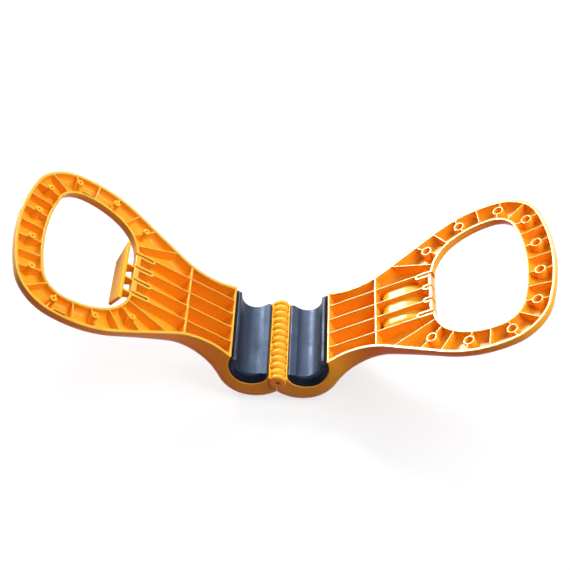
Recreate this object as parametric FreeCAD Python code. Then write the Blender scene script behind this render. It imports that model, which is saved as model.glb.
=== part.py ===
"""A fold-open carrying handle that clamps on a bar: two ribbed halves on one long pin.

All sizes are in millimetres. Each half is first drawn lying flat, with the hinge axis on
the y axis, its length along +x, its joining face at z = 0 and its outer skin below.
It is then tilted to the angle of the photograph. The left half is mirrored in x.
"""
import FreeCAD, Part
import math
import os

V = FreeCAD.Vector

# Pose
REST_TILT = 30.4            # each half rises this much from level when the handle is open
JOINING_GAP = 0.2           # each joining face stops this short of the joining plane
STOP_GAP = 0.15             # each stop face stops this short of the middle plane

# Plan outline of a half, from the tip round one side: radius and turn, or a straight length
TIP = 260.1
OUTLINE = [(195.0, 16.3), (44.8, 67.0), (102.7, 35.0), 56.7,
           (67.0, -28.3), (60.5, -16.5), (124.0, 16.5)]
ROOT = -14.0                # the outline runs on past the hinge axis to here

# Grip hole, from its far end round one side
HOLE_TIP = 234.2
HOLE = [(179.0, 15.1), (23.9, 70.6), (63.6, 33.8), (40.2, 60.5)]

# Side profile: the skin deepens from the ring to a round belly under the bar
DEPTH = 10.4                # joining plane to outer skin, at the ring
TAPER_U = 175.0             # the skin starts to deepen here
TAPER_R = 530.0
DIP_R = 45.0
BELLY_R = 35.5
BELLY_U = 24.0
EDGE_R = 7.0                # rounding of the outer skin's edges
HINGE_HEIGHT = BELLY_R - BELLY_U * math.sin(math.radians(REST_TILT))    # belly on the ground

# Walls and ribs
OUTER_WALL = 3.0
HOLE_WALL = 2.5
SKIN = 2.5
RIB = 1.2
CELL_R = 4.5                # rounding of the cell floors
CROSS_RIB_U = 95.0
CROSS_RIB = 1.8
LONG_RIBS = [26.1, 8.45]    # distance of the long ribs from the middle line
RAYS = [(10.0, 0.0), (10.0, 4.16), (10.0, 8.3), (10.0, 12.3), (148.5, 38.0), (192.6, 72.5),
        (206.0, 97.0), (206.0, 111.0), (206.0, 125.8), (206.0, 138.0), (237.6, 158.5)]
RAY_START = 190.0           # ring ribs start inside the hole
RAY_LENGTH = 150.0

# Pins on the left half and sockets on the right half, centred on every second ring rib
BOSSES = [(145.9, 54.2), (178.2, 71.5), (215.7, 74.1), (239.8, 50.2), (245.6, 16.9)]
SOCKET_OUTER_R = 5.0
SOCKET_R = 3.5
SOCKET_DEPTH = 4.5
PIN_R = 3.15
PIN_PROUD = 2.8
PIN_HOLE_R = 1.0
PIN_HOLE_DEPTH = 3.0

# Two thin tongues in the left ring that locate inside the walls of the right ring
TONGUES = [(206.0, 67.8), (207.5, -82.9)]
TONGUE = 1.2
TONGUE_LENGTH = 10.0
TONGUE_PROUD = 0.6

# Slots that open into the grip hole
SLOT_WIDTH = 2.3
SLOT_WALL = 2.3
SLOT_DEPTH = 7.6
SLOT_VS = [24.0, 8.0, -8.0, -24.0]
LEFT_SLOT_ENDS = [133.4, 133.4, 133.4, 133.4]
RIGHT_SLOT_ENDS = [135.5, 142.0, 142.0, 135.5]
HOLE_FACE = 150.25          # where the outline above ends, on the hinge side of the hole
LEFT_SLOT_FACE = 150.25     # hole face of the wall between the slots
RIGHT_SLOT_FACE = 148.8
LEFT_FACE_WALL = 4.9
RIGHT_FACE_WALL = 3.0

# Finger recess in the outer skin of the right half: a level top, then a bend to the skin
RECESS_START = 100.0
RECESS_CORNER_R = 7.0
RECESS_TOP_W = 6.2
RECESS_BEND_U = 119.0
RECESS_BEND_R = 30.0
RECESS_END = 145.0
RECESS_SIDES = [-21.5, 24.5]
RECESS_SIDE_R = 4.0

# Bar channel
BORE_U = 28.4
BORE_W = -0.8               # the bore's centre lies above the joining plane
BORE_R = 19.6
BORE_EDGE_R = 1.0
CHANNEL_WALL_U = 49.7       # far side of the wall beside the channel

# Liner
LINER_ARC_R = 14.0
LINER_ARC_U = 28.0
LINER_ARC_W = -3.1
FLARE_W = 4.0               # the straight flares start at this depth
FLARE_TOPS = [11.7, 42.5]
LIP_GROOVES = [1.0, 3.1]    # width at the joining plane, hinge side and far side
LIP_GROOVE_W = 7.0
LIP_EDGE_R = 0.6
LINER_INSET = 0.35          # the liner stops this far inside the ends of the channel
LINER_RIM = 0.25            # its rim lies this much further in
LINER_CONE = 0.73           # a cone hollows its ends from there, this far along per unit of radius
LIP_END = 44.2              # the lips are cut back to here in line with the hinge
LIP_END_SLOPE = -0.109      # and by this much along per unit of distance from the hinge
LIP_END_LEAN = 1.6          # and by this much along per unit of depth

# Hinge
KNUCKLE_R = 7.6
KNUCKLE_CLEARANCE = 0.35
KNUCKLE_PITCH = 8.1
KNUCKLE_GAP = 0.3
FULL_KNUCKLES = 11
END_KNUCKLE = 5.0
KNUCKLE_EDGE_R = 3.2
HINGE_PIN_R = 1.9
HINGE_PIN_RUNNING = 0.06
HINGE_PIN_RECESS = 4.0

# Latch, drawn in the left half's flat frame, its pivot inside the wall between the slots
PIVOT_U = 147.7
PIVOT_W = 4.2
LATCH_PIN_R = 1.25
LATCH_PIN_RUNNING = 0.06
LATCH_PIN_HALF = 26.5
ARM = 1.7
ARM_VS = [8.0, -8.0, -24.0]
ARM_TOP_W = 1.0
ARM_BOTTOM_W = 7.4          # inside the slot
ARM_ROOT_W = 12.5           # where the arm meets the plate
PLATE_FACE_U = 160.0
PLATE = 3.0
PLATE_TOP_W = 0.6
PLATE_BOTTOM_W = 22.0
PLATE_TOP_HALF = 36.0
PLATE_BOTTOM_HALF = 27.0
PLATE_EDGE = 0.6

FAR = 300.0                 # longer than any part
BELOW = 45.0                # deeper than any part


def line(start, end):
    return Part.LineSegment(start, end).toShape()


def chain(start, steps):
    """Edges that run on from each other without a corner, first heading along +y."""
    edges = []
    point = start
    heading = math.pi / 2
    for step in steps:
        if isinstance(step, tuple):
            radius = math.copysign(step[0], step[1])
            turn = math.radians(step[1])
            centre = point + V(-math.sin(heading), math.cos(heading), 0) * radius
            spots = []
            for angle in (heading + turn / 2, heading + turn):
                spots.append(centre + V(math.sin(angle), -math.cos(angle), 0) * radius)
            edges.append(Part.Arc(point, spots[0], spots[1]).toShape())
            point = spots[1]
            heading += turn
        else:
            end = point + V(math.cos(heading), math.sin(heading), 0) * step
            edges.append(line(point, end))
            point = end
    return edges, point


def both_sides(edges, end):
    """A closed face from edges on one side of the middle line and their mirror image."""
    side = Part.Wire(edges)
    other = side.mirror(V(0, 0, 0), V(0, 1, 0))
    close = line(end, V(end.x, -end.y, 0))
    return Part.Face(Part.Wire(Part.__sortEdges__(side.Edges + other.Edges + [close])))


def grown(steps, amount):
    """The same chain moved outward; a negative amount moves it inward."""
    moved = []
    for step in steps:
        if isinstance(step, tuple):
            moved.append((step[0] + amount * math.copysign(1, step[1]), step[1]))
        else:
            moved.append(step)
    return moved


def plan_face(inset):
    edges, end = chain(V(TIP - inset, 0, 0), grown(OUTLINE, -inset))
    corner = V(ROOT, end.y, 0)
    edges.append(line(end, corner))
    return both_sides(edges, corner)


def hole_face(outset):
    edges, end = chain(V(HOLE_TIP + outset, 0, 0), grown(HOLE, outset))
    return both_sides(edges, end)


def between(centre, reach, other, other_reach):
    """The point at both reaches, of the two the one further along +x."""
    span = (other - centre).Length
    along = (reach ** 2 - other_reach ** 2 + span ** 2) / (2 * span)
    aside = math.sqrt(reach ** 2 - along ** 2)
    step = (other - centre).normalize()
    return centre + step * along + V(-step.z, 0, step.x) * aside


def arc_about(centre, radius, start, end):
    """The shorter arc from start to end."""
    middle = (start - centre).normalize() + (end - centre).normalize()
    return Part.Arc(start, centre + middle.normalize() * radius, end).toShape()


def side_prism(inset):
    """The side profile as a slab across the whole width."""
    belly = BELLY_R - inset
    dip = DIP_R + inset
    taper = TAPER_R + inset
    belly_centre = V(BELLY_U, 0, 0)
    taper_centre = V(TAPER_U, 0, -DEPTH - TAPER_R)
    dip_centre = between(belly_centre, BELLY_R + DIP_R, taper_centre, TAPER_R - DIP_R)
    ring_skin = V(TAPER_U, 0, -DEPTH + inset)
    dip_start = taper_centre + (dip_centre - taper_centre).normalize() * taper
    meet = belly_centre + (dip_centre - belly_centre).normalize() * belly
    lowest = V(BELLY_U, 0, -belly)
    back = V(BELLY_U - belly, 0, 0)
    far_top = V(FAR, 0, 0)
    far_skin = V(FAR, 0, -DEPTH + inset)
    edges = [line(back, far_top), line(far_top, far_skin), line(far_skin, ring_skin),
             arc_about(taper_centre, taper, ring_skin, dip_start),
             arc_about(dip_centre, dip, dip_start, meet),
             Part.Arc(meet, lowest, back).toShape()]
    prism = Part.Face(Part.Wire(edges)).extrude(V(0, FAR, 0))
    prism.translate(V(0, -FAR / 2, 0))
    return prism


def lower_edges(shape):
    """The edges round the skin: low ones, but not upright ones or ones straight across."""
    found = []
    for edge in shape.Edges:
        box = edge.BoundBox
        upright = box.XLength < 0.001 and box.YLength < 0.001
        across = box.XLength < 0.001 and box.YLength > 60
        if box.ZMin < -5 and not upright and not across:
            found.append(edge)
    return found


def slab(u0, u1, v0, v1, w0=0.0, w1=BELOW):
    """A box from depth w0 to depth w1."""
    return Part.makeBox(u1 - u0, v1 - v0, w1 - w0, V(u0, v0, -w1))


def post(u, v, radius, w0=0.0, w1=BELOW):
    return Part.makeCylinder(radius, w1 - w0, V(u, v, -w1))


def cross_rod(u, w, radius, half_length):
    return Part.makeCylinder(radius, 2 * half_length, V(u, -half_length, -w), V(0, 1, 0))


def envelope():
    block = plan_face(0).extrude(V(0, 0, -BELOW))
    hole = hole_face(0).extrude(V(0, 0, -BELOW))
    solid = block.common(side_prism(0)).cut(hole)
    return solid.makeFillet(EDGE_R, lower_edges(solid))


def channelled_block():
    """The outer form with the bar channel through it, cut off short of the joining plane."""
    top = slab(-FAR, FAR, -FAR / 2, FAR / 2, 0, JOINING_GAP)
    block = envelope().cut([cross_rod(BORE_U, BORE_W, BORE_R, FAR / 2), top])
    mouths = []
    for edge in block.Edges:
        curve = edge.Curve
        if isinstance(curve, Part.Circle) and abs(curve.Radius - BORE_R) < 0.001:
            mouths.append(edge)
    return block.makeFillet(BORE_EDGE_R, mouths)


def cell_space():
    """The hollow between the walls, before ribs."""
    block = plan_face(OUTER_WALL).extrude(V(0, 0, -BELOW))
    hole = hole_face(HOLE_WALL).extrude(V(0, 0, -BELOW))
    beyond_channel = slab(CHANNEL_WALL_U, FAR, -FAR / 2, FAR / 2)
    solid = block.common(side_prism(SKIN)).common(beyond_channel).cut(hole)
    return solid.makeFillet(CELL_R, lower_edges(solid))


def slot_shape(v, end, half_width, w0, w1):
    """A slot with a round end, open towards the grip hole."""
    centre = end + SLOT_WIDTH / 2
    return slab(centre, HOLE_FACE + 1, v - half_width, v + half_width, w0, w1).fuse(
        post(centre, v, half_width, w0, w1))


def rib_shapes(slot_ends):
    shapes = [slab(CROSS_RIB_U - CROSS_RIB / 2, CROSS_RIB_U + CROSS_RIB / 2, -FAR / 2, FAR / 2)]
    for distance, end in zip(LONG_RIBS, slot_ends):
        for v in (distance, -distance):
            shapes.append(slab(0, end, v - RIB / 2, v + RIB / 2))
    for centre, angle in RAYS:
        for turn in sorted({angle, -angle}):
            start = max(0.0, RAY_START - centre)
            ray = slab(start, start + RAY_LENGTH, -RIB / 2, RIB / 2)
            ray.rotate(V(0, 0, 0), V(0, 0, 1), turn)
            ray.translate(V(centre, 0, 0))
            shapes.append(ray)
    return shapes


def slot_walls(slot_ends, face_u, face_wall):
    shapes = []
    for v, end in zip(SLOT_VS, slot_ends):
        shapes.append(slot_shape(v, end, SLOT_WIDTH / 2 + SLOT_WALL, 0, BELOW))
    reach = SLOT_VS[0] + SLOT_WIDTH / 2 + SLOT_WALL
    shapes.append(slab(face_u - face_wall, HOLE_FACE, -reach, reach))
    return shapes


def recess(outset):
    """The finger recess; grown by the skin it also shapes the dome above it."""
    corner = RECESS_CORNER_R + outset
    bend = RECESS_BEND_R + outset
    corner_centre = V(RECESS_START + RECESS_CORNER_R, 0, -RECESS_TOP_W - RECESS_CORNER_R)
    bend_centre = V(RECESS_BEND_U, 0, -RECESS_TOP_W - RECESS_BEND_R)
    start = corner_centre - V(corner, 0, 0)
    top = corner_centre + V(0, 0, corner)
    top_end = bend_centre + V(0, 0, bend)
    fall = math.sqrt(bend ** 2 - (RECESS_END - RECESS_BEND_U) ** 2)
    end = V(RECESS_END, 0, bend_centre.z + fall)
    low = V(start.x, 0, -BELOW)
    low_end = V(RECESS_END, 0, -BELOW)
    edges = [line(low, start), arc_about(corner_centre, corner, start, top),
             line(top, top_end), arc_about(bend_centre, bend, top_end, end),
             line(end, low_end), line(low_end, low)]
    sides = [RECESS_SIDES[0] - outset, RECESS_SIDES[1] + outset]
    solid = Part.Face(Part.Wire(edges)).extrude(V(0, sides[1] - sides[0], 0))
    solid.translate(V(0, sides[0], 0))
    rounded = []
    for edge in solid.Edges:
        box = edge.BoundBox
        at_end = box.XMin > RECESS_END - 0.01
        if box.YLength < 0.001 and box.ZMax > 1 - BELOW and not at_end:
            rounded.append(edge)
    return solid.makeFillet(RECESS_SIDE_R + outset, rounded)


def tongue(u, v, w0):
    length = TONGUE_LENGTH / 2
    return slab(u - length, u + length, v - TONGUE / 2, v + TONGUE / 2, w0)


def half_body(is_left):
    """A half lying flat, without its knuckles."""
    slot_ends = LEFT_SLOT_ENDS if is_left else RIGHT_SLOT_ENDS
    face_u = LEFT_SLOT_FACE if is_left else RIGHT_SLOT_FACE
    face_wall = LEFT_FACE_WALL if is_left else RIGHT_FACE_WALL
    keep = rib_shapes(slot_ends) + slot_walls(slot_ends, face_u, face_wall)
    boss_r = PIN_R if is_left else SOCKET_OUTER_R
    for u, v in BOSSES:
        keep.append(post(u, v, boss_r))
        keep.append(post(u, -v, boss_r))
    if is_left:
        for u, v in TONGUES:
            keep.append(tongue(u, v, 0))
    else:
        keep.append(recess(SKIN))
    body = channelled_block().cut(cell_space().cut(keep))
    cuts = []
    for v, end in zip(SLOT_VS, slot_ends):
        cuts.append(slot_shape(v, end, SLOT_WIDTH / 2, 0, SLOT_DEPTH))
    if is_left:
        cuts.append(cross_rod(PIVOT_U, PIVOT_W, LATCH_PIN_R, LATCH_PIN_HALF + 1))
    else:
        reach = SLOT_VS[0]
        cuts.append(slab(face_u, HOLE_FACE + 5, -reach, reach))
        cuts.append(recess(0))
        for u, v in BOSSES:
            cuts.append(post(u, v, SOCKET_R, 0, SOCKET_DEPTH))
            cuts.append(post(u, -v, SOCKET_R, 0, SOCKET_DEPTH))
    body = body.cut(cuts)
    if is_left:
        extras = []
        for u, v in BOSSES:
            for side in (v, -v):
                peg = post(u, side, PIN_R, -PIN_PROUD, 2.0)
                extras.append(peg.cut(post(u, side, PIN_HOLE_R, -PIN_PROUD, PIN_HOLE_DEPTH)))
        for u, v in TONGUES:
            extras.append(tongue(u, v, -TONGUE_PROUD).common(slab(0, FAR, -FAR, FAR, -5, 1)))
        body = body.fuse(extras)
    return body.removeSplitter()


def to_photo_pose(shape, is_left):
    """Tilts a flat shape up and lifts it to the hinge height; mirrors it for the left."""
    if is_left:
        shape = shape.mirror(V(0, 0, 0), V(1, 0, 0))
    tilt = REST_TILT if is_left else -REST_TILT
    shape.rotate(V(0, 0, 0), V(0, 1, 0), tilt)
    shape.translate(V(0, 0, HINGE_HEIGHT))
    return shape


def knuckle_spans(is_left):
    """Start and end of each knuckle of one half, along the hinge."""
    edge = -FULL_KNUCKLES * KNUCKLE_PITCH / 2
    spans = []
    if not is_left:
        spans.append((edge - END_KNUCKLE, edge - KNUCKLE_GAP / 2))
        spans.append((-edge + KNUCKLE_GAP / 2, -edge + END_KNUCKLE))
    for i in range(0 if is_left else 1, FULL_KNUCKLES, 2):
        start = edge + i * KNUCKLE_PITCH
        spans.append((start + KNUCKLE_GAP / 2, start + KNUCKLE_PITCH - KNUCKLE_GAP / 2))
    return spans


def hinge_rod(radius, y0, y1):
    return Part.makeCylinder(radius, y1 - y0, V(0, y0, HINGE_HEIGHT), V(0, 1, 0))


def half(is_left):
    body = to_photo_pose(half_body(is_left), is_left)
    sign = -1 if is_left else 1
    stop = Part.makeBox(100, FAR, FAR, V(-50 - sign * (50 - STOP_GAP), -FAR / 2, -FAR / 2))
    body = body.cut(stop)
    width = FULL_KNUCKLES * KNUCKLE_PITCH / 2 + END_KNUCKLE
    cleared = body.cut(hinge_rod(KNUCKLE_R + KNUCKLE_CLEARANCE, -FAR / 2, FAR / 2))
    pieces = []
    for y0, y1 in knuckle_spans(is_left):
        strip = Part.makeBox(2 * KNUCKLE_R + 4, y1 - y0, 4 * KNUCKLE_R,
                             V(-KNUCKLE_R - 2, y0, HINGE_HEIGHT - 2 * KNUCKLE_R))
        pieces.append(body.common(strip))
        barrel = hinge_rod(KNUCKLE_R, y0, y1)
        rims = [edge for edge in barrel.Edges if isinstance(edge.Curve, Part.Circle)]
        pieces.append(barrel.makeFillet(min(KNUCKLE_EDGE_R, 0.4 * (y1 - y0)), rims))
    solid = cleared.fuse(pieces).removeSplitter()
    hole_r = HINGE_PIN_R if is_left else HINGE_PIN_R + HINGE_PIN_RUNNING
    return solid.cut(hinge_rod(hole_r, -width - 1, width + 1))


def liner_end_cuts():
    """What hollows one end of the liner and cuts its lips back."""
    corner = chain(V(TIP - LINER_INSET, 0, 0), grown(OUTLINE, -LINER_INSET))[1]
    rim = corner.y - LINER_RIM
    depth = LINER_CONE * BORE_R
    grow = 5.0
    cone = Part.makeCone(0, BORE_R + grow / LINER_CONE, depth + grow,
                         V(BORE_U, rim - depth, -BORE_W), V(0, 1, 0))
    corners = []
    for w in (-5.0, 25.0):
        corners.append(V(0, LIP_END + LIP_END_LEAN * w, -w))
    corners += [V(0, FAR, -25.0), V(0, FAR, 5.0)]
    top = Part.Face(Part.makePolygon(corners + corners[:1]))
    return [cone, top.extrude(V(FAR, LIP_END_SLOPE * FAR, 0))]


def liner(is_left):
    """The rubber lining of the bar channel."""
    rise = LIP_GROOVE_W - BORE_W
    groove_u = math.sqrt(BORE_R ** 2 - rise ** 2)
    start = V(BORE_U - groove_u, 0, -LIP_GROOVE_W)
    end = V(BORE_U + groove_u, 0, -LIP_GROOVE_W)
    mouth_u = math.sqrt(BORE_R ** 2 - BORE_W ** 2)
    lips = [BORE_U - mouth_u + LIP_GROOVES[0], BORE_U + mouth_u - LIP_GROOVES[1]]
    flare_dz = FLARE_W - LINER_ARC_W
    flare_du = math.sqrt(LINER_ARC_R ** 2 - flare_dz ** 2)
    near = V(LINER_ARC_U - flare_du, 0, -FLARE_W)
    far = V(LINER_ARC_U + flare_du, 0, -FLARE_W)
    top = -JOINING_GAP
    corners = [end, V(lips[1], 0, top), V(FLARE_TOPS[1], 0, top), far]
    edges = [Part.Arc(start, V(BORE_U, 0, -BORE_W - BORE_R), end).toShape()]
    for a, b in zip(corners, corners[1:]):
        edges.append(line(a, b))
    low = V(LINER_ARC_U, 0, -LINER_ARC_W - LINER_ARC_R)
    edges.append(Part.Arc(far, low, near).toShape())
    corners = [near, V(FLARE_TOPS[0], 0, top), V(lips[0], 0, top), start]
    for a, b in zip(corners, corners[1:]):
        edges.append(line(a, b))
    solid = Part.Face(Part.Wire(edges)).extrude(V(0, 100, 0))
    solid.translate(V(0, -50, 0))
    lip_edges = []
    for edge in solid.Edges:
        if edge.BoundBox.ZMin > top - 0.001 and edge.BoundBox.YLength > 1:
            lip_edges.append(edge)
    solid = solid.makeFillet(LIP_EDGE_R, lip_edges)
    solid = solid.common(plan_face(LINER_INSET).extrude(V(0, 0, -BELOW)))
    cuts = liner_end_cuts()
    for cut in list(cuts):
        cuts.append(cut.mirror(V(0, 0, 0), V(0, 1, 0)))
    return to_photo_pose(solid.cut(cuts), is_left)


def latch():
    """A plate in the grip hole on arms that turn on the latch pin."""
    back = PLATE_FACE_U - PLATE
    corners = [V(back, -PLATE_TOP_HALF, -PLATE_TOP_W), V(back, PLATE_TOP_HALF, -PLATE_TOP_W),
               V(back, PLATE_BOTTOM_HALF, -PLATE_BOTTOM_W),
               V(back, -PLATE_BOTTOM_HALF, -PLATE_BOTTOM_W)]
    plate = Part.Face(Part.makePolygon(corners + corners[:1])).extrude(V(PLATE, 0, 0))
    plate = plate.makeChamfer(PLATE_EDGE, plate.Edges)
    solid = plate
    hub_r = PIVOT_W - ARM_TOP_W
    root = back + 1
    corners = [V(PIVOT_U, 0, -ARM_TOP_W), V(root, 0, -ARM_TOP_W), V(root, 0, -ARM_ROOT_W),
               V(HOLE_FACE, 0, -ARM_BOTTOM_W), V(PIVOT_U, 0, -ARM_BOTTOM_W)]
    side = Part.Face(Part.makePolygon(corners + corners[:1]))
    for v in ARM_VS:
        arm = side.extrude(V(0, ARM, 0))
        arm.translate(V(0, v - ARM / 2, 0))
        hub = Part.makeCylinder(hub_r, ARM, V(PIVOT_U, v - ARM / 2, -PIVOT_W), V(0, 1, 0))
        solid = solid.fuse([arm, hub])
    solid = solid.removeSplitter()
    return solid.cut(cross_rod(PIVOT_U, PIVOT_W, LATCH_PIN_R + LATCH_PIN_RUNNING, FAR / 2))


def main():
    os.makedirs("parts", exist_ok=True)
    pin_half = FULL_KNUCKLES * KNUCKLE_PITCH / 2 + END_KNUCKLE - HINGE_PIN_RECESS
    parts = {
        "left_half": half(True),
        "right_half": half(False),
        "left_liner": liner(True),
        "right_liner": liner(False),
        "latch": to_photo_pose(latch(), True),
        "latch_pin": to_photo_pose(cross_rod(PIVOT_U, PIVOT_W, LATCH_PIN_R, LATCH_PIN_HALF), True),
        "hinge_pin": hinge_rod(HINGE_PIN_R, -pin_half, pin_half),
    }
    for name, shape in parts.items():
        shape.exportStep("parts/" + name + ".step")
        print(name, len(shape.Solids), "solid(s), valid", shape.isValid(),
              "faces", len(shape.Faces), "volume", round(shape.Volume))


main()
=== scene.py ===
"""Looks, light and camera for the fold-open carrying handle."""
import math

import bpy
from mathutils import Matrix, Vector


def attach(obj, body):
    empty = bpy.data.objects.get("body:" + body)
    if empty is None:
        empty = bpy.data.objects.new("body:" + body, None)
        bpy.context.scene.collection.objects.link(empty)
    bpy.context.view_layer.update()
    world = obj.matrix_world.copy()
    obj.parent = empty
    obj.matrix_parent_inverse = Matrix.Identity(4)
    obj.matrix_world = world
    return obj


# Camera, from the lines of the photograph
CAMERA_SPOT = (-0.01001, -0.85617, 0.89599)
CAMERA_RIGHT = (0.99805317, 0.03510625, 0.05155011)
CAMERA_DOWN = (0.06162814, -0.68211368, -0.72864456)
CAMERA_LENS = 85.48

# Light
SKY_LOW = 0.16              # light from level and below
SKY_HIGH = 0.36             # light from straight above
SHADE = 0.30                # brightness of the side towards the viewer, against the far side
SOFTBOXES = [               # name, place, what it points at, width and height, watts
    ("back_left_softbox", (-0.97, 1.45, 0.95), (0.12, 0, 0.08), (0.52, 0.40), 37),
    ("back_top_softbox", (-0.05, 1.5, 1.35), (0, 0, 0.08), (1.3, 0.5), 18),
    ("top_right_softbox", (0.85, -0.20, 1.3), (0, 0, 0.05), (1.1, 1.1), 22)]

# Floor
FLOOR_REACH = 6.0
FLOOR_WHITE = (0.90, 0.90, 0.90)
FLOOR_WHITE_PALE = (0.93, 0.93, 0.93)
FLOOR_BOUNCE = (0.32, 0.06, 0.01)   # the warm light that the floor throws back on the object
FLOOR_GLOW = 0.75                   # how far the camera sees the floor as plain white

# Moulded plastic; patches, grain and the like are in waves per metre, depths in metres
ORANGE = (0.95, 0.47, 0.030)
ORANGE_DEEP = (0.93, 0.41, 0.020)
ORANGE_PATCHES = 14
PLASTIC_ROUGHNESS = (0.17, 0.30)
PLASTIC_DULL_PATCHES = 60
PLASTIC_GRAIN = 900
GRAIN_DEPTH = 0.00002
EDGE_SOFTNESS = 0.0005
GLOW_SHARE = 0.45           # how much of the light goes into the plastic
GLOW_DEPTH = 0.0025         # and how far it spreads there
GLOW_COLOUR = (1.0, 0.55, 0.15)
BODY_GLOSS = 0.16
EDGE_GLOSS = 0.46           # the tops of the walls shine more than the rest
LATCH_GLOSS = 0.015         # the plate mirrors next to nothing of the floor

# Rubber lining
RUBBER = (0.004, 0.005, 0.009)
RUBBER_PALE = (0.014, 0.019, 0.036)
RUBBER_STREAKS = 40
RUBBER_ROUGHNESS = (0.28, 0.62)
RUBBER_DULL_PATCHES = 90
RUBBER_RIPPLES = 110
RIPPLE_DEPTH = 0.0004
RUBBER_SOFTNESS = 0.0008
RUBBER_GLOSS = 0.62
RUBBER_SHEEN = (0.36, 0.58, 1.0)
RUBBER_END_PAINTED_SHADE = (0.05, 0.07, 0.12)   # painted shade on the coned ends, which reflect less than the channel
LINER_END_Y = 43.0

# Steel pins
STEEL = (0.20, 0.20, 0.21)
STEEL_PALE = (0.34, 0.34, 0.35)
STEEL_ROUGHNESS = (0.28, 0.42)
TURNING_MARKS = 500

# Sizes shared with the solid model, in millimetres; each half is drawn lying flat,
# with u away from the hinge, v along it, and outlines as radius and turn or a straight length
MM = 0.001
REST_TILT = 30.4
BELLY_R = 35.5
BELLY_U = 24.0
HINGE_HEIGHT = BELLY_R - BELLY_U * math.sin(math.radians(REST_TILT))
JOINING_GAP = 0.2
TIP = 260.1
OUTLINE = [(195.0, 16.3), (44.8, 67.0), (102.7, 35.0), 56.7,
           (67.0, -28.3), (60.5, -16.5), (124.0, 16.5)]
HOLE_TIP = 234.2
HOLE = [(179.0, 15.1), (23.9, 70.6), (63.6, 33.8), (40.2, 60.5)]
OUTER_WALL = 3.0
HOLE_WALL = 2.5
CHANNEL_EDGE_U = 48.0
CHANNEL_WALL_U = 49.7
CROSS_RIB_U = 95.0
CROSS_RIB = 1.8
RIB = 1.2
LONG_RIBS = [26.1, 8.45]
RAYS = [(10.0, 0.0), (10.0, 4.16), (10.0, 8.3), (10.0, 12.3), (148.5, 38.0), (192.6, 72.5),
        (206.0, 97.0), (206.0, 111.0), (206.0, 125.8), (206.0, 138.0), (237.6, 158.5)]
RAY_START = 190.0           # ring ribs start inside the hole
BOSSES = [(145.9, 54.2), (178.2, 71.5), (215.7, 74.1), (239.8, 50.2), (245.6, 16.9)]
PIN_R = 3.15
SOCKET_R = 3.5
SOCKET_OUTER_R = 5.0
SLOT_HALF = 1.15
SLOT_WALL = 2.3
SLOT_VS = [24.0, 8.0, -8.0, -24.0]
SLOT_ENDS = {"left": [133.4, 133.4, 133.4, 133.4], "right": [135.5, 142.0, 142.0, 135.5]}
SLOT_FACE = {"left": (150.25, 4.9), "right": (148.8, 3.0)}
KNUCKLE_PITCH = 8.1
FULL_KNUCKLES = 11

# Rounded caps on the walls and ribs, and crowned bands on the knuckles
CAP_HEIGHT = 0.12
CAP_CORNER = 0.16           # share of a wall's width that each rounded corner takes
CAP_INSET = 0.05
ARC_STEP = 3.0              # degrees between the points of an arc
RIB_STEP = 0.25             # a rib is felt for in steps of this
RIB_REACH = 175.0
BEND_STEPS = 12             # steps round the end of a slot
RING_STEPS = 24             # steps round a socket
BAND_MIDDLE_R = 6.2
BAND_CROWN = 1.6
BAND_HALF_WIDTH = 2.7


def new_material(name):
    """An empty material with one shader."""
    material = bpy.data.materials.new(name)
    material.use_nodes = True
    nodes = material.node_tree.nodes
    nodes.clear()
    output = nodes.new("ShaderNodeOutputMaterial")
    shader = nodes.new("ShaderNodeBsdfPrincipled")
    material.node_tree.links.new(shader.outputs["BSDF"], output.inputs["Surface"])
    return material, shader


def object_noise(material, scale, detail, stretch=(1, 1, 1)):
    """Noise that stays on the object; the scale is in waves per metre."""
    nodes = material.node_tree.nodes
    links = material.node_tree.links
    place = nodes.new("ShaderNodeTexCoord")
    mapping = nodes.new("ShaderNodeMapping")
    mapping.inputs["Scale"].default_value = stretch
    noise = nodes.new("ShaderNodeTexNoise")
    noise.inputs["Scale"].default_value = scale
    noise.inputs["Detail"].default_value = detail
    links.new(place.outputs["Object"], mapping.inputs["Vector"])
    links.new(mapping.outputs["Vector"], noise.inputs["Vector"])
    return noise.outputs["Fac"]


def colour_between(material, amount, low, high, dark, light):
    """Goes from one colour to another as the amount goes from low to high."""
    nodes = material.node_tree.nodes
    ramp = nodes.new("ShaderNodeValToRGB")
    ramp.color_ramp.elements[0].position = low
    ramp.color_ramp.elements[0].color = (*dark, 1)
    ramp.color_ramp.elements[1].position = high
    ramp.color_ramp.elements[1].color = (*light, 1)
    material.node_tree.links.new(amount, ramp.inputs["Fac"])
    return ramp.outputs["Color"]


def spread(material, amount, low, high):
    """Stretches an amount from nought to one over a range."""
    nodes = material.node_tree.nodes
    change = nodes.new("ShaderNodeMapRange")
    change.inputs["To Min"].default_value = low
    change.inputs["To Max"].default_value = high
    material.node_tree.links.new(amount, change.inputs["Value"])
    return change.outputs["Result"]


def fine_bump(material, shader, height, depth, softness):
    """Small surface relief on top of softened edges."""
    nodes = material.node_tree.nodes
    links = material.node_tree.links
    soft = nodes.new("ShaderNodeBevel")
    soft.samples = 6
    soft.inputs["Radius"].default_value = softness
    bump = nodes.new("ShaderNodeBump")
    bump.inputs["Strength"].default_value = 1.0
    bump.inputs["Distance"].default_value = depth
    links.new(height, bump.inputs["Height"])
    links.new(soft.outputs["Normal"], bump.inputs["Normal"])
    links.new(bump.outputs["Normal"], shader.inputs["Normal"])


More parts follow.
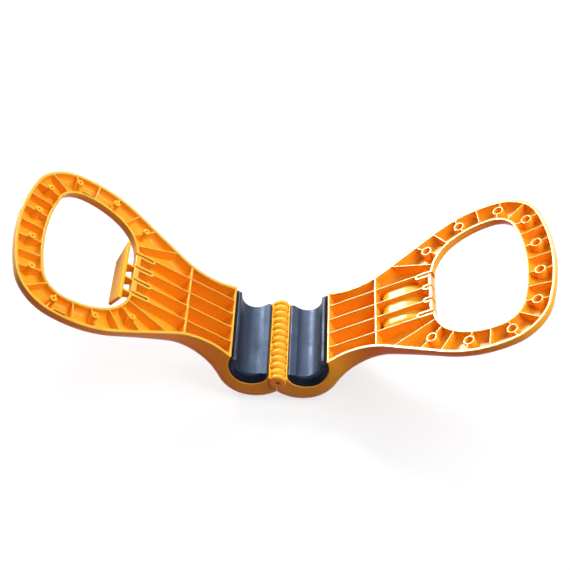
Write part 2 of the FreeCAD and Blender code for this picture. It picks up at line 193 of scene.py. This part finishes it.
def moulded_orange(name, gloss):
    """Slightly patchy orange plastic that lets some light in."""
    material, shader = new_material(name)
    links = material.node_tree.links
    patches = object_noise(material, ORANGE_PATCHES, 3)
    links.new(colour_between(material, patches, 0.35, 0.65, ORANGE_DEEP, ORANGE),
              shader.inputs["Base Color"])
    dull = object_noise(material, PLASTIC_DULL_PATCHES, 4)
    links.new(spread(material, dull, *PLASTIC_ROUGHNESS), shader.inputs["Roughness"])
    grain = object_noise(material, PLASTIC_GRAIN, 2)
    fine_bump(material, shader, grain, GRAIN_DEPTH, EDGE_SOFTNESS)
    shader.inputs["IOR"].default_value = 1.5
    shader.inputs["Specular IOR Level"].default_value = gloss
    shader.inputs["Subsurface Weight"].default_value = GLOW_SHARE
    shader.inputs["Subsurface Radius"].default_value = GLOW_COLOUR
    shader.inputs["Subsurface Scale"].default_value = GLOW_DEPTH
    return material


def feed(tree, node, values):
    """Gives each input of a node its number, or links it to another node's output."""
    for socket, value in zip(node.inputs, values):
        if isinstance(value, (int, float)):
            socket.default_value = value
        else:
            tree.links.new(value, socket)


def arithmetic(tree, operation, *values):
    """One step of arithmetic between sockets or numbers."""
    node = tree.nodes.new("ShaderNodeMath")
    node.operation = operation
    feed(tree, node, values)
    return node.outputs["Value"]


def from_middle(material, length):
    """How far a spot lies from the middle plane along the hinge, as a share of a length."""
    tree = material.node_tree
    place = tree.nodes.new("ShaderNodeTexCoord")
    parts = tree.nodes.new("ShaderNodeSeparateXYZ")
    tree.links.new(place.outputs["Object"], parts.inputs["Vector"])
    distance = arithmetic(tree, "ABSOLUTE", parts.outputs["Y"])
    return arithmetic(tree, "DIVIDE", distance, length)


def channel_rubber():
    """Near-black rubber with a mottled blue-grey sheen, and painted shade that dims the
    reflections on its coned ends.
    """
    material, shader = new_material("channel_rubber")
    links = material.node_tree.links
    streaks = object_noise(material, RUBBER_STREAKS, 4, (1, 0.25, 1))
    links.new(colour_between(material, streaks, 0.3, 0.7, RUBBER, RUBBER_PALE),
              shader.inputs["Base Color"])
    dull = object_noise(material, RUBBER_DULL_PATCHES, 3)
    links.new(spread(material, dull, *RUBBER_ROUGHNESS), shader.inputs["Roughness"])
    ripples = object_noise(material, RUBBER_RIPPLES, 3)
    fine_bump(material, shader, ripples, RIPPLE_DEPTH, RUBBER_SOFTNESS)
    # painted shade: the reflections are dimmed on the coned ends of the lining, beyond LINER_END_Y
    # from the middle
    along = from_middle(material, 2 * LINER_END_Y * MM)
    links.new(colour_between(material, along, 0.497, 0.503, RUBBER_SHEEN, RUBBER_END_PAINTED_SHADE),
              shader.inputs["Specular Tint"])
    shader.inputs["Specular IOR Level"].default_value = RUBBER_GLOSS
    return material


def turned_steel():
    """Steel with fine turning marks round the hinge line."""
    material, shader = new_material("turned_steel")
    links = material.node_tree.links
    marks = object_noise(material, TURNING_MARKS, 3, (1, 0.05, 1))
    links.new(colour_between(material, marks, 0.3, 0.7, STEEL, STEEL_PALE),
              shader.inputs["Base Color"])
    links.new(spread(material, marks, *STEEL_ROUGHNESS), shader.inputs["Roughness"])
    shader.inputs["Metallic"].default_value = 1.0
    return material


def seen_or_mirrored(tree):
    """One for rays from the camera, a mirror or a clear body, nought for the others."""
    path = tree.nodes.new("ShaderNodeLightPath")
    mirrored = arithmetic(tree, "MAXIMUM", path.outputs["Is Glossy Ray"],
                          path.outputs["Is Transmission Ray"])
    return arithmetic(tree, "MAXIMUM", path.outputs["Is Camera Ray"], mirrored)


def walked(start, steps, inset):
    """Points along a run of arcs (radius, turn) and straight lengths, moved inward."""
    points = [(start - inset, 0.0)]
    heading = math.pi / 2
    for step in steps:
        x, y = points[-1]
        if isinstance(step, tuple):
            radius = step[0] * math.copysign(1, step[1]) - inset
            turn = math.radians(step[1])
            centre = (x - math.sin(heading) * radius, y + math.cos(heading) * radius)
            pieces = max(2, round(abs(step[1]) / ARC_STEP))
            for index in range(1, pieces + 1):
                angle = heading + turn * index / pieces
                points.append((centre[0] + math.sin(angle) * radius,
                               centre[1] - math.cos(angle) * radius))
            heading += turn
        else:
            points.append((x + math.cos(heading) * step, y + math.sin(heading) * step))
    return points


def both_ways(points):
    """The same run and its mirror image, as one line through the middle."""
    return [(x, -y) for x, y in reversed(points[1:])] + points


def cut_back(run, v):
    """The run up to where its far end comes within v of the middle line."""
    while run[-2][1] < v:
        run.pop()
    (x0, y0), (x1, y1) = run[-2:]
    share = (y0 - v) / (y0 - y1)
    run[-1] = (x0 + (x1 - x0) * share, v)
    return run


def inside(point, outline):
    """Whether a point lies inside a closed outline."""
    x, y = point
    found = False
    for (x0, y0), (x1, y1) in zip(outline, outline[1:] + outline[:1]):
        if (y0 > y) != (y1 > y) and x < x0 + (y - y0) * (x1 - x0) / (y1 - y0):
            found = not found
    return found


def ring_points(u, v, radius):
    """A closed circle of points."""
    points = []
    for index in range(RING_STEPS + 1):
        angle = 2 * math.pi * index / RING_STEPS
        points.append((u + math.cos(angle) * radius, v + math.sin(angle) * radius))
    return points


def slot_bend(v, end):
    """The middle line of the wall round one slot, from side to side of its round end."""
    reach = SLOT_HALF + SLOT_WALL / 2
    points = []
    for index in range(BEND_STEPS + 1):
        angle = math.pi / 2 + math.pi * index / BEND_STEPS
        points.append((end + SLOT_HALF + math.cos(angle) * reach, v + math.sin(angle) * reach))
    return points


def rib_starts():
    """Where each rib starts, which way it runs, and its width."""
    starts = []
    for way in (1, -1):
        starts.append(((CROSS_RIB_U, 0.0), (0, way), CROSS_RIB))
        middle = (CHANNEL_EDGE_U + CHANNEL_WALL_U) / 2
        starts.append(((middle, 0.0), (0, way), CHANNEL_WALL_U - CHANNEL_EDGE_U))
        for v in LONG_RIBS:
            starts.append(((CHANNEL_WALL_U, v * way), (1, 0), RIB))
        for centre, angle in RAYS:
            if angle == 0.0 and way < 0:
                continue
            turn = math.radians(angle) * way
            heading = (math.cos(turn), math.sin(turn))
            skip = max(0.0, RAY_START - centre)
            start = (centre + heading[0] * skip, heading[1] * skip)
            starts.append((start, heading, RIB))
    return starts


def rib_lines(side, slots, bosses):
    """The stretch of each rib that lies between walls, slots and pins."""
    room = both_ways(walked(TIP, OUTLINE, OUTER_WALL))
    hole = both_ways(walked(HOLE_TIP, HOLE, -HOLE_WALL))
    reach = SLOT_HALF + SLOT_WALL
    posts = [(end + SLOT_HALF, v, reach) for v, end in slots]
    posts += [(u, v, PIN_R if side == "left" else SOCKET_OUTER_R) for u, v in bosses]
    lines = []
    for start, heading, width in rib_starts():
        run = []
        for step in range(round(RIB_REACH / RIB_STEP)):
            far = step * RIB_STEP
            spot = (start[0] + heading[0] * far, start[1] + heading[1] * far)
            free = inside(spot, room) and not inside(spot, hole)
            free = free and all(math.dist(spot, (u, v)) > radius for u, v, radius in posts)
            free = free and not any(abs(spot[1] - v) < reach and spot[0] > end
                                    for v, end in slots)
            if free:
                run.append(spot)
            elif run:
                lines.append(([run[0], run[-1]], width))
                run = []
    return lines


def wall_lines(side):
    """Middle lines of the walls and ribs of one half, each with its width."""
    outer = both_ways(walked(TIP, OUTLINE, OUTER_WALL / 2))
    lines = [([spot for spot in outer if spot[0] > CHANNEL_WALL_U], OUTER_WALL)]
    ring = cut_back(walked(HOLE_TIP, HOLE, -HOLE_WALL / 2), SLOT_VS[0] + SLOT_HALF + CAP_INSET)
    lines.append((both_ways(ring), HOLE_WALL))
    face, face_wall = SLOT_FACE[side]
    slots = list(zip(SLOT_VS, SLOT_ENDS[side]))
    for v, end in slots:
        bend = slot_bend(v, end)
        back = face - face_wall
        lines.append(([(back, bend[0][1])] + bend + [(back, bend[-1][1])], SLOT_WALL))
    for high, low in zip(SLOT_VS, SLOT_VS[1:]):
        middle = face - face_wall / 2
        lines.append(([(middle, high - SLOT_HALF), (middle, low + SLOT_HALF)], face_wall))
    bosses = BOSSES + [(u, -v) for u, v in BOSSES]
    if side == "right":
        for u, v in bosses:
            ring_r = (SOCKET_R + SOCKET_OUTER_R) / 2
            lines.append((ring_points(u, v, ring_r), SOCKET_OUTER_R - SOCKET_R))
    return lines + rib_lines(side, slots, bosses)


def new_tree(name, sizes):
    """An empty Geometry Nodes tree with named size inputs and a finish."""
    tree = bpy.data.node_groups.new(name, "GeometryNodeTree")
    tree.interface.new_socket("Geometry", in_out="INPUT", socket_type="NodeSocketGeometry")
    for size, kind in sizes:
        tree.interface.new_socket(size, in_out="INPUT", socket_type=kind)
    tree.interface.new_socket("Finish", in_out="INPUT", socket_type="NodeSocketMaterial")
    tree.interface.new_socket("Geometry", in_out="OUTPUT", socket_type="NodeSocketGeometry")
    return tree, tree.nodes.new("NodeGroupInput"), tree.nodes.new("NodeGroupOutput")


def vector_node(tree, *values):
    """Joins three sockets or numbers into a vector."""
    node = tree.nodes.new("ShaderNodeCombineXYZ")
    feed(tree, node, values)
    return node.outputs["Vector"]


def finish_tree(tree, geometry, start, end):
    """Ends a tree with real geometry in one finish."""
    realize = tree.nodes.new("GeometryNodeRealizeInstances")
    finish = tree.nodes.new("GeometryNodeSetMaterial")
    tree.links.new(geometry, realize.inputs["Geometry"])
    tree.links.new(realize.outputs["Geometry"], finish.inputs["Geometry"])
    tree.links.new(start.outputs["Finish"], finish.inputs["Material"])
    tree.links.new(finish.outputs["Geometry"], end.inputs["Geometry"])
    return tree


def wall_cap_tree():
    """Sweeps a cap with rounded edges along each line; its width is the line's own."""
    tree, start, end = new_tree("rounded_wall_caps", [("Height", "NodeSocketFloat"),
                                                      ("Corner", "NodeSocketFloat")])
    links = tree.links
    lines = tree.nodes.new("GeometryNodeMeshToCurve")
    links.new(start.outputs["Geometry"], lines.inputs["Mesh"])
    level = tree.nodes.new("GeometryNodeSetCurveNormal")
    level.mode = "Z_UP"
    links.new(lines.outputs["Curve"], level.inputs["Curve"])
    width = tree.nodes.new("GeometryNodeInputNamedAttribute")
    width.data_type = "FLOAT"
    width.inputs["Name"].default_value = "width"
    section = tree.nodes.new("GeometryNodeCurvePrimitiveQuadrilateral")
    section.inputs["Width"].default_value = 1.0
    links.new(arithmetic(tree, "MULTIPLY", start.outputs["Corner"], 2.0), section.inputs["Height"])
    rounded = tree.nodes.new("GeometryNodeFilletCurve")
    rounded.mode = "POLY"
    rounded.inputs["Count"].default_value = 4
    links.new(section.outputs["Curve"], rounded.inputs["Curve"])
    links.new(arithmetic(tree, "MULTIPLY", start.outputs["Corner"], 0.99),
              rounded.inputs["Radius"])
    sweep = tree.nodes.new("GeometryNodeCurveToMesh")
    sweep.inputs["Fill Caps"].default_value = True
    links.new(level.outputs["Curve"], sweep.inputs["Curve"])
    links.new(rounded.outputs["Curve"], sweep.inputs["Profile Curve"])
    links.new(width.outputs["Attribute"], sweep.inputs["Scale"])
    spot = tree.nodes.new("GeometryNodeInputPosition")
    parts = tree.nodes.new("ShaderNodeSeparateXYZ")
    links.new(spot.outputs["Position"], parts.inputs["Vector"])
    share = arithmetic(tree, "DIVIDE", parts.outputs["Z"], width.outputs["Attribute"])
    share = arithmetic(tree, "DIVIDE", share, start.outputs["Corner"])
    height = arithmetic(tree, "MULTIPLY", share, start.outputs["Height"])
    flatten = tree.nodes.new("GeometryNodeSetPosition")
    links.new(sweep.outputs["Mesh"], flatten.inputs["Geometry"])
    links.new(vector_node(tree, parts.outputs["X"], parts.outputs["Y"], height),
              flatten.inputs["Position"])
    return finish_tree(tree, flatten.outputs["Geometry"], start, end)


def knuckle_band_tree():
    """Repeats a crowned band along the hinge."""
    sizes = [("Start", "NodeSocketFloat"), ("Pitch", "NodeSocketFloat"),
             ("Count", "NodeSocketInt"), ("Middle radius", "NodeSocketFloat"),
             ("Crown", "NodeSocketFloat"), ("Half width", "NodeSocketFloat")]
    tree, start, end = new_tree("crowned_knuckle_bands", sizes)
    links = tree.links
    path = tree.nodes.new("GeometryNodeCurvePrimitiveCircle")
    path.inputs["Resolution"].default_value = 72
    links.new(start.outputs["Middle radius"], path.inputs["Radius"])
    section = tree.nodes.new("GeometryNodeCurvePrimitiveCircle")
    section.inputs["Resolution"].default_value = 32
    section.inputs["Radius"].default_value = 1.0
    squeeze = tree.nodes.new("GeometryNodeTransform")
    links.new(section.outputs["Curve"], squeeze.inputs["Geometry"])
    links.new(vector_node(tree, start.outputs["Crown"], start.outputs["Half width"], 1.0),
              squeeze.inputs["Scale"])
    sweep = tree.nodes.new("GeometryNodeCurveToMesh")
    links.new(path.outputs["Curve"], sweep.inputs["Curve"])
    links.new(squeeze.outputs["Geometry"], sweep.inputs["Profile Curve"])
    smooth = tree.nodes.new("GeometryNodeSetShadeSmooth")
    links.new(sweep.outputs["Mesh"], smooth.inputs["Geometry"])
    turn = tree.nodes.new("GeometryNodeTransform")
    turn.inputs["Rotation"].default_value = (math.pi / 2, 0, 0)
    links.new(smooth.outputs["Geometry"], turn.inputs["Geometry"])
    row = tree.nodes.new("GeometryNodeMeshLine")
    links.new(start.outputs["Count"], row.inputs["Count"])
    links.new(vector_node(tree, 0, start.outputs["Start"], 0), row.inputs["Start Location"])
    links.new(vector_node(tree, 0, start.outputs["Pitch"], 0), row.inputs["Offset"])
    copies = tree.nodes.new("GeometryNodeInstanceOnPoints")
    links.new(row.outputs["Mesh"], copies.inputs["Points"])
    links.new(turn.outputs["Geometry"], copies.inputs["Instance"])
    return finish_tree(tree, copies.outputs["Instances"], start, end)


def made_by_tree(name, tree, source, sizes, place):
    """Runs a tree on a mesh, keeps the result as a plain mesh and puts it in place."""
    holder = bpy.data.objects.new(name + "_source", source)
    bpy.context.scene.collection.objects.link(holder)
    modifier = holder.modifiers.new("tree", "NODES")
    modifier.node_group = tree
    for item in tree.interface.items_tree:
        if item.in_out == "INPUT" and item.name in sizes:
            modifier[item.identifier] = sizes[item.name]
    depsgraph = bpy.context.evaluated_depsgraph_get()
    mesh = bpy.data.meshes.new_from_object(holder.evaluated_get(depsgraph), depsgraph=depsgraph)
    holder.modifiers.remove(modifier)
    bpy.data.objects.remove(holder)
    mesh.name = name
    mesh.transform(place)
    if place.determinant() < 0:
        mesh.flip_normals()
    piece = bpy.data.objects.new(name, mesh)
    bpy.context.scene.collection.objects.link(piece)
    return piece


def half_place(side):
    """From a half lying flat to its place in the frame, in metres."""
    tilt = math.radians(REST_TILT)
    lean = Matrix(((math.cos(tilt), 0, -math.sin(tilt), 0), (0, 1, 0, 0),
                   (math.sin(tilt), 0, math.cos(tilt), HINGE_HEIGHT * MM), (0, 0, 0, 1)))
    mirror = Matrix.Diagonal((-1 if side == "left" else 1, 1, 1, 1))
    return mirror @ lean @ Matrix.Translation((0, 0, -JOINING_GAP * MM))


def wall_caps(side, finish):
    """Rounded tops on the walls and ribs of one half."""
    spots = []
    edges = []
    widths = []
    for points, width in wall_lines(side):
        first = len(spots)
        spots += [(x * MM, y * MM, 0.0) for x, y in points]
        edges += [(first + index, first + index + 1) for index in range(len(points) - 1)]
        widths += [(width - 2 * CAP_INSET) * MM] * len(points)
    source = bpy.data.meshes.new("wall_lines")
    source.from_pydata(spots, edges, [])
    source.attributes.new("width", "FLOAT", "POINT").data.foreach_set("value", widths)
    sizes = {"Height": CAP_HEIGHT * MM, "Corner": CAP_CORNER, "Finish": finish}
    piece = made_by_tree(side + "_wall_caps", wall_cap_tree(), source, sizes, half_place(side))
    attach(piece, side)


def knuckle_bands(side, finish):
    """Crowned bands round every second knuckle, those of one half."""
    skipped = 0 if side == "left" else 1
    sizes = {"Start": (skipped + 0.5 - FULL_KNUCKLES / 2) * KNUCKLE_PITCH * MM,
             "Pitch": 2 * KNUCKLE_PITCH * MM, "Count": (FULL_KNUCKLES + 1 - skipped) // 2,
             "Middle radius": BAND_MIDDLE_R * MM, "Crown": BAND_CROWN * MM,
             "Half width": BAND_HALF_WIDTH * MM, "Finish": finish}
    source = bpy.data.meshes.new("hinge_line")
    place = Matrix.Translation((0, 0, HINGE_HEIGHT * MM))
    piece = made_by_tree(side + "_knuckle_bands", knuckle_band_tree(), source, sizes, place)
    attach(piece, side)


def pale_floor():
    """A wide floor, near white where seen or mirrored, that keeps a light shadow."""
    mesh = bpy.data.meshes.new("floor")
    corners = [(x * FLOOR_REACH, y * FLOOR_REACH, 0)
               for x, y in ((-1, -1), (1, -1), (1, 1), (-1, 1))]
    mesh.from_pydata(corners, [], [(0, 1, 2, 3)])
    floor = bpy.data.objects.new("floor", mesh)
    bpy.context.scene.collection.objects.link(floor)
    material, shader = new_material("pale_floor")
    nodes = material.node_tree.nodes
    links = material.node_tree.links
    shader.inputs["Roughness"].default_value = 0.9
    shader.inputs["Specular IOR Level"].default_value = 0.1
    clouds = object_noise(material, 3, 2)
    links.new(colour_between(material, clouds, 0.3, 0.7, FLOOR_WHITE, FLOOR_WHITE_PALE),
              shader.inputs["Base Color"])
    glow = nodes.new("ShaderNodeEmission")
    glow.inputs["Color"].default_value = (1, 1, 1, 1)
    glow.inputs["Strength"].default_value = 1.0
    lighten = nodes.new("ShaderNodeMixShader")
    lighten.inputs["Fac"].default_value = FLOOR_GLOW
    links.new(shader.outputs["BSDF"], lighten.inputs[1])
    links.new(glow.outputs["Emission"], lighten.inputs[2])
    bounce = nodes.new("ShaderNodeBsdfDiffuse")
    bounce.inputs["Color"].default_value = (*FLOOR_BOUNCE, 1)
    choose = nodes.new("ShaderNodeMixShader")
    output = next(node for node in nodes if node.type == "OUTPUT_MATERIAL")
    links.new(seen_or_mirrored(material.node_tree), choose.inputs["Fac"])
    links.new(bounce.outputs["BSDF"], choose.inputs[1])
    links.new(lighten.outputs["Shader"], choose.inputs[2])
    links.new(choose.outputs["Shader"], output.inputs["Surface"])
    mesh.materials.append(material)


def white_surroundings():
    """Soft white light, stronger from above and behind, and plain white where seen or mirrored."""
    world = bpy.data.worlds.new("white_surroundings")
    bpy.context.scene.world = world
    world.use_nodes = True
    nodes = world.node_tree.nodes
    links = world.node_tree.links
    nodes.clear()
    place = nodes.new("ShaderNodeTexCoord")
    parts = nodes.new("ShaderNodeSeparateXYZ")
    links.new(place.outputs["Generated"], parts.inputs["Vector"])
    height = nodes.new("ShaderNodeMapRange")
    height.inputs["To Min"].default_value = SKY_LOW
    height.inputs["To Max"].default_value = SKY_HIGH
    links.new(parts.outputs["Z"], height.inputs["Value"])
    depth = nodes.new("ShaderNodeMapRange")
    depth.inputs["From Min"].default_value = -1.0
    depth.inputs["To Min"].default_value = SHADE
    links.new(parts.outputs["Y"], depth.inputs["Value"])
    strength = arithmetic(world.node_tree, "MULTIPLY", height.outputs["Result"],
                          depth.outputs["Result"])
    light = nodes.new("ShaderNodeBackground")
    light.inputs["Color"].default_value = (1, 1, 1, 1)
    links.new(strength, light.inputs["Strength"])
    seen = nodes.new("ShaderNodeBackground")
    seen.inputs["Color"].default_value = (1, 1, 1, 1)
    seen.inputs["Strength"].default_value = 1.0
    choose = nodes.new("ShaderNodeMixShader")
    output = nodes.new("ShaderNodeOutputWorld")
    links.new(seen_or_mirrored(world.node_tree), choose.inputs["Fac"])
    links.new(light.outputs["Background"], choose.inputs[1])
    links.new(seen.outputs["Background"], choose.inputs[2])
    links.new(choose.outputs["Shader"], output.inputs["Surface"])


def softbox(name, spot, target, size, power):
    """A rectangular lamp pointed at a target."""
    lamp = bpy.data.lights.new(name, "AREA")
    lamp.shape = "RECTANGLE"
    lamp.size = size[0]
    lamp.size_y = size[1]
    lamp.energy = power
    holder = bpy.data.objects.new(name, lamp)
    holder.location = spot
    aim = Vector(target) - Vector(spot)
    holder.rotation_euler = aim.to_track_quat("-Z", "Y").to_euler()
    bpy.context.scene.collection.objects.link(holder)


def photo_camera():
    """The camera where the photograph was taken from."""
    right = Vector(CAMERA_RIGHT).normalized()
    down = Vector(CAMERA_DOWN).normalized()
    forward = right.cross(down).normalized()
    turn = Matrix((right, -down, -forward)).transposed().to_4x4()
    data = bpy.data.cameras.new("photo_camera")
    data.sensor_width = 36.0
    data.lens = CAMERA_LENS
    data.clip_start = 0.05
    camera = bpy.data.objects.new("photo_camera", data)
    camera.matrix_world = Matrix.Translation(Vector(CAMERA_SPOT)) @ turn
    bpy.context.scene.collection.objects.link(camera)
    bpy.context.scene.camera = camera


def paint(node, material):
    """Gives a node of the solid model its only material."""
    bpy.data.objects[node].data.materials.clear()
    bpy.data.objects[node].data.materials.append(material)


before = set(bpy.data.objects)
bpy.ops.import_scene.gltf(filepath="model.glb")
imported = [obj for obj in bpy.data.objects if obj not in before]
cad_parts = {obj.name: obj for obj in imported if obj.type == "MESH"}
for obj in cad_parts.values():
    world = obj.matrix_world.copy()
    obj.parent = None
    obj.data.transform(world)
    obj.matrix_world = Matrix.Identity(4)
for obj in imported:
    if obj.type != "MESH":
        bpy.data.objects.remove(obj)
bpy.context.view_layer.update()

photo_camera()
white_surroundings()
for box in SOFTBOXES:
    softbox(*box)
pale_floor()
bpy.context.scene.view_settings.view_transform = "Standard"

orange = moulded_orange("moulded_orange", BODY_GLOSS)
edge_orange = moulded_orange("polished_edge_orange", EDGE_GLOSS)
for node in ("left_half", "right_half"):
    paint(node, orange)
paint("latch", moulded_orange("latch_orange", LATCH_GLOSS))
for side in ("left", "right"):
    wall_caps(side, edge_orange)
    knuckle_bands(side, orange)
rubber = channel_rubber()
for node in ("left_liner", "right_liner"):
    paint(node, rubber)
steel = turned_steel()
for node in ("hinge_pin", "latch_pin"):
    paint(node, steel)
